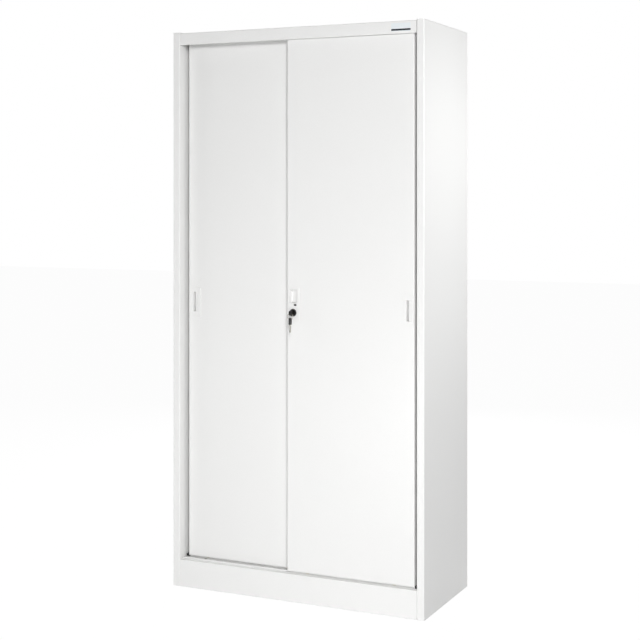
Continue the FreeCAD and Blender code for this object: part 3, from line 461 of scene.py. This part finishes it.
# White ABS from a lightly spark-eroded mould: softer and a little warmer than the powder coat,
# with a grain of about 0.4 mm, drawn 1 mm across so that it shows.
white_abs, tree, shader, place = new_material("white_abs")
shader.inputs["IOR"].default_value = 1.54
grain = add(tree, "ShaderNodeTexNoise", {}, Vector=place, Scale=1000, Detail=2)
matt = add(tree, "ShaderNodeMapRange", {}, Value=grain.outputs["Fac"], To_Min=0.42, To_Max=0.55)
tone = add(tree, "ShaderNodeMix", {"data_type": "RGBA"}, Factor=grain.outputs["Fac"])
tone.inputs[6].default_value = linear("#F0F0EF")
tone.inputs[7].default_value = linear("#F5F5F4")
spark = add(tree, "ShaderNodeBump", {}, Height=grain.outputs["Fac"], Strength=0.15, Distance=0.0001)
tree.links.new(tone.outputs[2], shader.inputs["Base Color"])
tree.links.new(matt.outputs["Result"], shader.inputs["Roughness"])
tree.links.new(spark.outputs["Normal"], shader.inputs["Normal"])


def block(*spans):
    """Add a block that fills a span along each axis, and open it for editing."""
    bpy.ops.object.select_all(action="DESELECT")
    low, high = (Vector(corner) / 1000 for corner in zip(*spans))
    bpy.ops.mesh.primitive_cube_add(size=1, location=(low + high) / 2, scale=high - low)
    bpy.ops.object.transform_apply()
    bpy.ops.object.mode_set(mode="EDIT")


def cut_corners(radius, across, rise, axes=(X, Z)):
    """Round the four corners of a plate that lie at the ends of two spans."""
    pick("edges", *(within((axes[0], one), (axes[1], two)) for one in across for two in rise))
    bpy.ops.mesh.bevel(offset=radius / 1000, segments=6, affect="EDGES")


def cut_out(piece, cutter):
    """Cut one solid out of another and throw the cutter away."""
    hole = piece.modifiers.new("hole", "BOOLEAN")
    hole.object, hole.solver = cutter, "EXACT"
    bpy.ops.object.select_all(action="DESELECT")
    bpy.context.view_layer.objects.active = piece
    bpy.ops.object.modifier_apply(modifier=hole.name)
    bpy.data.objects.remove(cutter)


def finish_moulding(piece, name, soft, segments=3):
    """Round every edge of a finished shape a little with a bevel, and name the piece."""
    bpy.ops.object.select_all(action="DESELECT")
    piece.select_set(True)
    bpy.context.view_layer.objects.active = piece
    piece.name = piece.data.name = name
    edge = piece.modifiers.new("edges", "BEVEL")
    edge.width, edge.segments, edge.limit_method = soft / 1000, segments, "ANGLE"
    edge.angle_limit = math.radians(30)
    bpy.ops.object.modifier_apply(modifier=edge.name)
    even_shading(piece)
    return piece


def close_edit():
    """Turn the faces outwards and leave edit mode."""
    bpy.ops.mesh.select_all(action="SELECT")
    bpy.ops.mesh.normals_make_consistent(inside=False)
    bpy.ops.object.mode_set(mode="OBJECT")
    return bpy.context.object


def walled(span):
    """A span with the cup's wall added at both ends."""
    return (span[0] - cup_wall, span[1] + cup_wall)


def finger_pull(name, face, across, mouth):
    """A face plate with a stepped cup behind it: a shallow dish, and a deep slot at its left."""
    front, rise = face - plate_thick, (900, 997)
    dish, slot, slot_width = 3, 13, 6.5
    block(across, (front, face), rise)
    cut_corners(plate_corner, across, rise)
    push(face, cup_back, walled(mouth), walled(cup_rise))
    push(front, dish, mouth, cup_rise)
    push(front + dish, slot, (mouth[0], mouth[0] + slot_width), cup_rise)
    pick("edges", within((X, mouth[1]), (Y, front + dish)))
    bpy.ops.transform.translate(value=(0, -0.001, 0))
    return finish_moulding(close_edit(), name, plate_edge)


plate_thick, plate_corner, plate_edge, cup_back, cup_wall = 2.5, 3, 0.7, 15, 1.5
right_pull = finger_pull("right_finger_pull", right_face, (375.5, 411.5), (388.5, 405.5))
left_pull = finger_pull("left_finger_pull", left_face, (-403, -367), (-394, -377))
settle(right_pull, white_abs, "right_door", "white_plastic", "right_pull")
settle(left_pull, white_abs, "left_door", "white_plastic", "left_pull")


# Lock plate
# The same white ABS: a plate with a finger recess above, deepest at its left, and the round hole
# for the lock below. A small plain black inlay sits between the two.
def rod(axis, centre, radius, low, high, sides=64):
    """Add a round rod along X or Y between two places and open it for editing."""
    spot = list(centre)
    spot.insert(axis, (low + high) / 2)
    bpy.ops.object.select_all(action="DESELECT")
    bpy.ops.mesh.primitive_cylinder_add(
        vertices=sides, radius=radius / 1000, depth=(high - low) / 1000,
        location=[coordinate / 1000 for coordinate in spot],
        rotation=((0, math.pi / 2, 0), (math.pi / 2, 0, 0))[axis],
    )
    bpy.ops.object.transform_apply()
    bpy.ops.object.mode_set(mode="EDIT")


lock_centre, hole_radius, recess_depth = (-4, 929), 9.1, 16
plate_across, plate_rise, plate_front = (-20.5, 17.5), (901, 1008), right_face - plate_thick
recess_across, recess_rise = (-16.5, 9.5), (960, 1003)
block(plate_across, (plate_front, right_face), plate_rise)
cut_corners(plate_corner, plate_across, plate_rise)
push(right_face, cup_back, walled(recess_across), walled(recess_rise))
push(plate_front, recess_depth, recess_across, recess_rise)

# The recess draws in a little towards its floor, and the right edge of its floor stands higher.
bpy.ops.transform.resize(value=(0.92, 1, 0.95), center_override=(-0.0035, 0, 0.9815))
pick("edges", within((X, 8, 9), (Y, plate_front + recess_depth)))
bpy.ops.transform.translate(value=(0, -0.008, 0))
lock_plate = close_edit()
rod(Y, lock_centre, hole_radius, -200, -180)
cut_out(lock_plate, close_edit())
finish_moulding(lock_plate, "lock_face_plate", plate_edge)
settle(lock_plate, white_abs, "right_door", "white_plastic", "lock_plate")

# Black ABS, semi-gloss from a polished mould with a faint flow haze.
black_abs, tree, shader, place = new_material("black_abs")
shader.inputs["IOR"].default_value = 1.54
haze = add(tree, "ShaderNodeTexNoise", {}, Vector=place, Scale=400, Detail=3)
gloss = add(tree, "ShaderNodeMapRange", {}, Value=haze.outputs["Fac"], To_Min=0.24, To_Max=0.4)
depth = add(tree, "ShaderNodeMix", {"data_type": "RGBA"}, Factor=haze.outputs["Fac"])
depth.inputs[6].default_value = linear("#0B0B0C")
depth.inputs[7].default_value = linear("#121213")
tree.links.new(depth.outputs[2], shader.inputs["Base Color"])
tree.links.new(gloss.outputs["Result"], shader.inputs["Roughness"])
inlay_across, inlay_depth, inlay_rise = (-1.5, 7.5), (-192.8, -192.4), (951.2, 956.6)
block(inlay_across, inlay_depth, inlay_rise)
cut_corners(0.8, inlay_across, inlay_rise)
inlay = finish_moulding(close_edit(), "lock_plate_inlay", 0.12, 2)
settle(inlay, black_abs, "right_door", "black_plastic")

# Lock bezel and cylinder
# A black ABS collar round a dark nickel-plated plug with a vertical keyway. The housing behind the
# skin is die-cast zinc, and the tongue on the plug is zinc-plated steel.

# Bright nickel over brass: warm grey metal with hair scratches from keys about 0.3 mm apart.
nickel, tree, shader, place = new_material("nickel_plated_brass")
shader.inputs["Metallic"].default_value = 1
stretch = add(tree, "ShaderNodeMapping", {}, Vector=place, Scale=(900, 900, 3300))
hair = add(tree, "ShaderNodeTexNoise", {}, Vector=stretch.outputs["Vector"], Scale=1, Detail=3)
worn = add(tree, "ShaderNodeMapRange", {}, Value=hair.outputs["Fac"], To_Min=0.16, To_Max=0.34)
metal = add(tree, "ShaderNodeMix", {"data_type": "RGBA"}, Factor=hair.outputs["Fac"])
metal.inputs[6].default_value = linear("#B9B6AE")
metal.inputs[7].default_value = linear("#D2CFC8")
tree.links.new(metal.outputs[2], shader.inputs["Base Color"])
tree.links.new(worn.outputs["Result"], shader.inputs["Roughness"])

# Black nickel: the same plating with a dark bath, a smoky grey metal with polishing marks.
dark_nickel, tree, shader, place = new_material("black_nickel_plate")
shader.inputs["Metallic"].default_value = 1
smoke = add(tree, "ShaderNodeTexNoise", {}, Vector=place, Scale=1500, Detail=3)
buffed = add(tree, "ShaderNodeMapRange", {}, Value=smoke.outputs["Fac"], To_Min=0.2, To_Max=0.36)
dusk = add(tree, "ShaderNodeMix", {"data_type": "RGBA"}, Factor=smoke.outputs["Fac"])
dusk.inputs[6].default_value = linear("#3A3835")
dusk.inputs[7].default_value = linear("#4A4743")
tree.links.new(dusk.outputs[2], shader.inputs["Base Color"])
tree.links.new(buffed.outputs["Result"], shader.inputs["Roughness"])

# Die-cast zinc as it leaves the mould: dull grey with soft flow marks a few millimetres long.
die_cast, tree, shader, place = new_material("die_cast_zinc")
shader.inputs["Metallic"].default_value = 1
flow = add(tree, "ShaderNodeTexNoise", {}, Vector=place, Scale=260, Detail=3, Distortion=1.2)
rough = add(tree, "ShaderNodeMapRange", {}, Value=flow.outputs["Fac"], To_Min=0.42, To_Max=0.62)
grey = add(tree, "ShaderNodeMix", {"data_type": "RGBA"}, Factor=flow.outputs["Fac"])
grey.inputs[6].default_value = linear("#8E9092")
grey.inputs[7].default_value = linear("#A9ABAC")
tree.links.new(grey.outputs[2], shader.inputs["Base Color"])
tree.links.new(rough.outputs["Result"], shader.inputs["Roughness"])


def rim_step(front, wide, y=0):
    """Inset the face at the front by a width and move it along Y."""
    pick("faces", within((Y, front)))
    bpy.ops.mesh.inset(thickness=wide / 1000)
    if y:
        bpy.ops.transform.translate(value=(0, y / 1000, 0))


bezel_radius, bezel_front, plug_radius = 12, -197, 6.6
rod(Y, lock_centre, bezel_radius, bezel_front, plate_front, 96)
pick("edges", within((Y, bezel_front)))
bpy.ops.mesh.bevel(offset=0.0012, segments=4, affect="EDGES")
rim_step(bezel_front, 2.4)
rim_step(bezel_front, 0.5, 0.9)
bezel = close_edit()
rod(Y, lock_centre, plug_radius, -200, -190)
cut_out(bezel, close_edit())
finish_moulding(bezel, "lock_collar", 0.15, 2)
settle(bezel, black_abs, "right_door", "black_plastic", "lock_bezel")
dress(die_cast, "lock_body")
dress(dark_nickel, "lock_cylinder")
dress(zinc_plate, "lock_tongue", "tongue_screw", "strike_plate", "strike_rivets")

# Rollers and top guides
# The doors hang on nothing: each stands on two grooved nylon rollers in zinc-plated housings,
# and two nylon guides keep its head in the track.

# Natural nylon, moulded: milky off-white, slightly waxy, with faint flow clouds.
nylon, tree, shader, place = new_material("natural_nylon")
shader.inputs["IOR"].default_value = 1.53
shader.inputs["Subsurface Weight"].default_value = 0.12
shader.inputs["Subsurface Radius"].default_value = (0.002, 0.0018, 0.0014)
shader.inputs["Subsurface Scale"].default_value = 1
clouds = add(tree, "ShaderNodeTexNoise", {}, Vector=place, Scale=180, Detail=2)
milk = add(tree, "ShaderNodeMix", {"data_type": "RGBA"}, Factor=clouds.outputs["Fac"])
milk.inputs[6].default_value = linear("#E4E0D4")
milk.inputs[7].default_value = linear("#EFECE2")
wax = add(tree, "ShaderNodeMapRange", {}, Value=clouds.outputs["Fac"], To_Min=0.34, To_Max=0.46)
tree.links.new(milk.outputs[2], shader.inputs["Base Color"])
tree.links.new(wax.outputs["Result"], shader.inputs["Roughness"])
dress(
    nylon, "left_door_roller_1", "left_door_roller_2", "right_door_roller_1",
    "right_door_roller_2", "left_top_guides", "right_top_guides",
)
dress(
    zinc_plate, "left_roller_housings", "right_roller_housings", "left_roller_axles",
    "right_roller_axles",
)

# Rubber stops
# Black EPDM blocks, cut from strip. They are glued beside the foot of each shut door and into the
# top channels, and soften the doors' stop.

# EPDM rubber: matt black with a slightly grey bloom and a fine extruded grain.
rubber, tree, shader, place = new_material("epdm_rubber")
shader.inputs["IOR"].default_value = 1.52
dust = add(tree, "ShaderNodeTexNoise", {}, Vector=place, Scale=600, Detail=4)
soot = add(tree, "ShaderNodeMix", {"data_type": "RGBA"}, Factor=dust.outputs["Fac"])
soot.inputs[6].default_value = linear("#1B1B1C")
soot.inputs[7].default_value = linear("#2C2C2D")
felt = add(tree, "ShaderNodeMapRange", {}, Value=dust.outputs["Fac"], To_Min=0.7, To_Max=0.86)
pores = add(tree, "ShaderNodeBump", {}, Height=dust.outputs["Fac"], Strength=0.3, Distance=0.0002)
tree.links.new(soot.outputs[2], shader.inputs["Base Color"])
tree.links.new(felt.outputs["Result"], shader.inputs["Roughness"])
tree.links.new(pores.outputs["Normal"], shader.inputs["Normal"])
dress(rubber, "closing_stops", "opening_stops")

# Keys
# A nickel-plated blade, milled and cut on one edge, is moulded into a flat black ABS grip with a
# thumb dimple on each side. A steel ring joins the key in the lock to its spare.
ring_hole, eye_radius = (-213.5, 929), 2
grip_sides, grip_end, shoulder, grip_rise = (-6, -2), -220.5, -198.5, (921.5, 936.5)
end_corner, shoulder_corner = 5, 2
block(grip_sides, (grip_end, shoulder), grip_rise)
cut_corners(end_corner, (grip_end,), grip_rise, axes=(Y, Z))
cut_corners(shoulder_corner, (shoulder,), grip_rise, axes=(Y, Z))
for side in grip_sides:
    pick("faces", within((X, side)))
    bpy.ops.mesh.inset(thickness=0.0018)
    bpy.ops.mesh.inset(thickness=0.0007, depth=-0.0004)
grip = close_edit()
rod(X, ring_hole, eye_radius, -8, 0, 32)
cut_out(grip, close_edit())
finish_moulding(grip, "moulded_key_grip", 0.4)

# The blade: its lower edge is cut to the key's code, its tip is tapered, and a groove is milled
# along each side.
blade_sides, blade_root, blade_tip, cut_edge, back_edge = (-5, -3), -206.5, -173.5, 925, 933
block(blade_sides, (blade_root, blade_tip), (cut_edge, back_edge))
cuts = {-194.5: 0, -192.5: 1.8, -190.5: 0.6, -188: 2.6, -185.5: 1, -183: 2.2, -180.5: 0.4, -178: 2}
groove_start, groove_end, groove_rise, groove_depth = -198, -175.5, (929, 931), 0.4
cut_lines(within((X, *blade_sides)), Y, groove_start, *cuts, groove_end)
for level, height in cuts.items():
    pick("edges", within((Y, level), (Z, cut_edge)))
    bpy.ops.transform.translate(value=(0, 0, height / 1000))
for edge, height in ((cut_edge, 2), (back_edge, -1.5)):
    pick("edges", within((Y, blade_tip), (Z, edge)))
    bpy.ops.transform.translate(value=(0, 0, height / 1000))
for side, inwards in zip(blade_sides, (groove_depth, -groove_depth)):
    cut_lines(within((X, side)), Z, *groove_rise)
    pick("faces", within((X, side), (Y, groove_start, groove_end), (Z, *groove_rise)))
    pull_out(x=inwards)
blade = finish_moulding(close_edit(), "cut_key_blade", 0.15, 2)

# The spare key is the same key, hung blade down from the ring by its own hole.
spare_hole_z = 907.1
hang = (
    Matrix.Translation((0, ring_hole[0] / 1000, spare_hole_z / 1000))
    @ Matrix.Rotation(math.radians(-90), 4, "X")
    @ Matrix.Translation((0, -ring_hole[0] / 1000, -ring_hole[1] / 1000))
)
spare_grip = again(grip, "moulded_spare_key_grip", hang)
spare_blade = again(blade, "cut_spare_key_blade", hang)
settle(grip, black_abs, "key", "black_plastic", "key_grip")
settle(blade, nickel, "key", "nickel_plate", "key_blade")
settle(spare_grip, black_abs, "spare_key", "black_plastic", "spare_key_grip")
settle(spare_blade, nickel, "spare_key", "nickel_plate", "spare_key_blade")
dress(nickel, "key_ring")

# Name plate
# A bare plate of pale anodised aluminium stuck to the right end of the header, with a plain
# dark strip along its foot.

# Anodised aluminium, satin: pale and cool, with a dark printed strip above the lower edge.
anodised, tree, shader, place = new_material("anodised_plate")
shader.inputs["IOR"].default_value = 1.5
split = add(tree, "ShaderNodeSeparateXYZ", {}, Vector=place)
height, strip_foot, strip_head = split.outputs["Z"], 1.8168, 1.8225  # in metres
above = add(tree, "ShaderNodeMath", {"operation": "GREATER_THAN"}, _0=height, _1=strip_foot)
below = add(tree, "ShaderNodeMath", {"operation": "LESS_THAN"}, _0=height, _1=strip_head)
foot = add(
    tree, "ShaderNodeMath", {"operation": "MULTIPLY"}, _0=above.outputs[0], _1=below.outputs[0],
)
speck = add(tree, "ShaderNodeTexNoise", {}, Vector=place, Scale=900, Detail=2)
pale = add(tree, "ShaderNodeMix", {"data_type": "RGBA"}, Factor=speck.outputs["Fac"])
pale.inputs[6].default_value = linear("#E9F0F3")
pale.inputs[7].default_value = linear("#F0F5F7")
strip = add(tree, "ShaderNodeMix", {"data_type": "RGBA"}, Factor=foot.outputs[0])
tree.links.new(pale.outputs[2], strip.inputs[6])
strip.inputs[7].default_value = linear("#232A31")
satin = add(tree, "ShaderNodeMapRange", {}, Value=speck.outputs["Fac"], To_Min=0.3, To_Max=0.4)
tree.links.new(strip.outputs[2], shader.inputs["Base Color"])
tree.links.new(satin.outputs["Result"], shader.inputs["Roughness"])
dress(anodised, "name_plate")

# Screws
# Zinc-plated pan-head screws hold the panels, the rail and the track together. They are driven
# after coating, so their heads stay bare metal.
dress(zinc_plate, "assembly_screws", "track_screws")

# Studio
# A plain floor and surroundings with soft lamps. The camera sees both white, and the floor keeps
# a faint shadow.
bpy.ops.object.select_all(action="DESELECT")
bpy.ops.mesh.primitive_plane_add(size=30, location=(0, 0, -0.0005))
floor = bpy.context.object
floor.name = "studio_floor"
paper = bpy.data.materials.new("studio_paper")
paper.use_nodes = True
tree = paper.node_tree
tree.nodes.remove(tree.nodes["Principled BSDF"])
matt = add(tree, "ShaderNodeBsdfDiffuse", {}, Color=linear("#F2F2F2"))
glow = add(tree, "ShaderNodeEmission", {}, Color=(1, 1, 1, 1), Strength=1.03)
ray = add(tree, "ShaderNodeLightPath", {})
seen = add(
    tree, "ShaderNodeMath", {"operation": "MAXIMUM"},
    _0=ray.outputs["Is Camera Ray"], _1=ray.outputs["Is Glossy Ray"],
)
seen = add(
    tree, "ShaderNodeMath", {"operation": "MAXIMUM"},
    _0=seen.outputs[0], _1=ray.outputs["Is Transmission Ray"],
)
white_share = 0.94
share = add(tree, "ShaderNodeMath", {"operation": "MULTIPLY"}, _0=seen.outputs[0], _1=white_share)
blend = add(
    tree, "ShaderNodeMixShader", {},
    _0=share.outputs[0], _1=matt.outputs[0], _2=glow.outputs[0],
)
tree.links.new(blend.outputs[0], tree.nodes["Material Output"].inputs["Surface"])
floor.data.materials.append(paper)

world = bpy.data.worlds.new("studio")
bpy.context.scene.world = world
world.use_nodes = True
tree = world.node_tree
ray = add(tree, "ShaderNodeLightPath", {})
seen = add(
    tree, "ShaderNodeMath", {"operation": "MAXIMUM"},
    _0=ray.outputs["Is Camera Ray"], _1=ray.outputs["Is Transmission Ray"],
)
level = add(tree, "ShaderNodeMapRange", {}, Value=seen.outputs[0], To_Min=0.14, To_Max=1)
tree.links.new(level.outputs["Result"], tree.nodes["Background"].inputs["Strength"])
tree.nodes["Background"].inputs["Color"].default_value = (1, 1, 1, 1)


def lamp(name, spot, aim, width, height, watts):
    """A soft rectangular lamp at a spot, turned to an aim, both in metres."""
    bpy.ops.object.light_add(type="AREA", location=spot)
    light = bpy.context.object
    light.name = name
    light.data.shape = "RECTANGLE"
    light.data.size, light.data.size_y, light.data.energy = width, height, watts
    light.rotation_euler = (Vector(aim) - Vector(spot)).to_track_quat("-Z", "Y").to_euler()
    light.visible_camera = False


lamp("high_front_lamp", (2.4, -3.7, 2.6), (0, -0.2, 0.9), 0.8, 0.8, 94)
lamp("eye_level_lamp", (1.9, -3.9, 0.8), (0.2, -0.2, 0.8), 0.7, 0.7, 18)
lamp("low_front_lamp", (0.4, -2.0, 0.25), (0.1, -0.2, 0.5), 2, 0.4, 8.4)
lamp("right_lamp", (1.3, 0.1, 1.5), (0.45, 0.1, 1.5), 0.6, 0.6, 5.8)
lamp("left_lamp", (-2.6, -0.9, 1.6), (-0.3, 0, 0.9), 1, 1, 13)
lamp("back_lamp", (-0.9, 3.0, 1.9), (0, 0.2, 0.9), 1.4, 1.4, 62)
bpy.context.scene.view_settings.view_transform = "Standard"
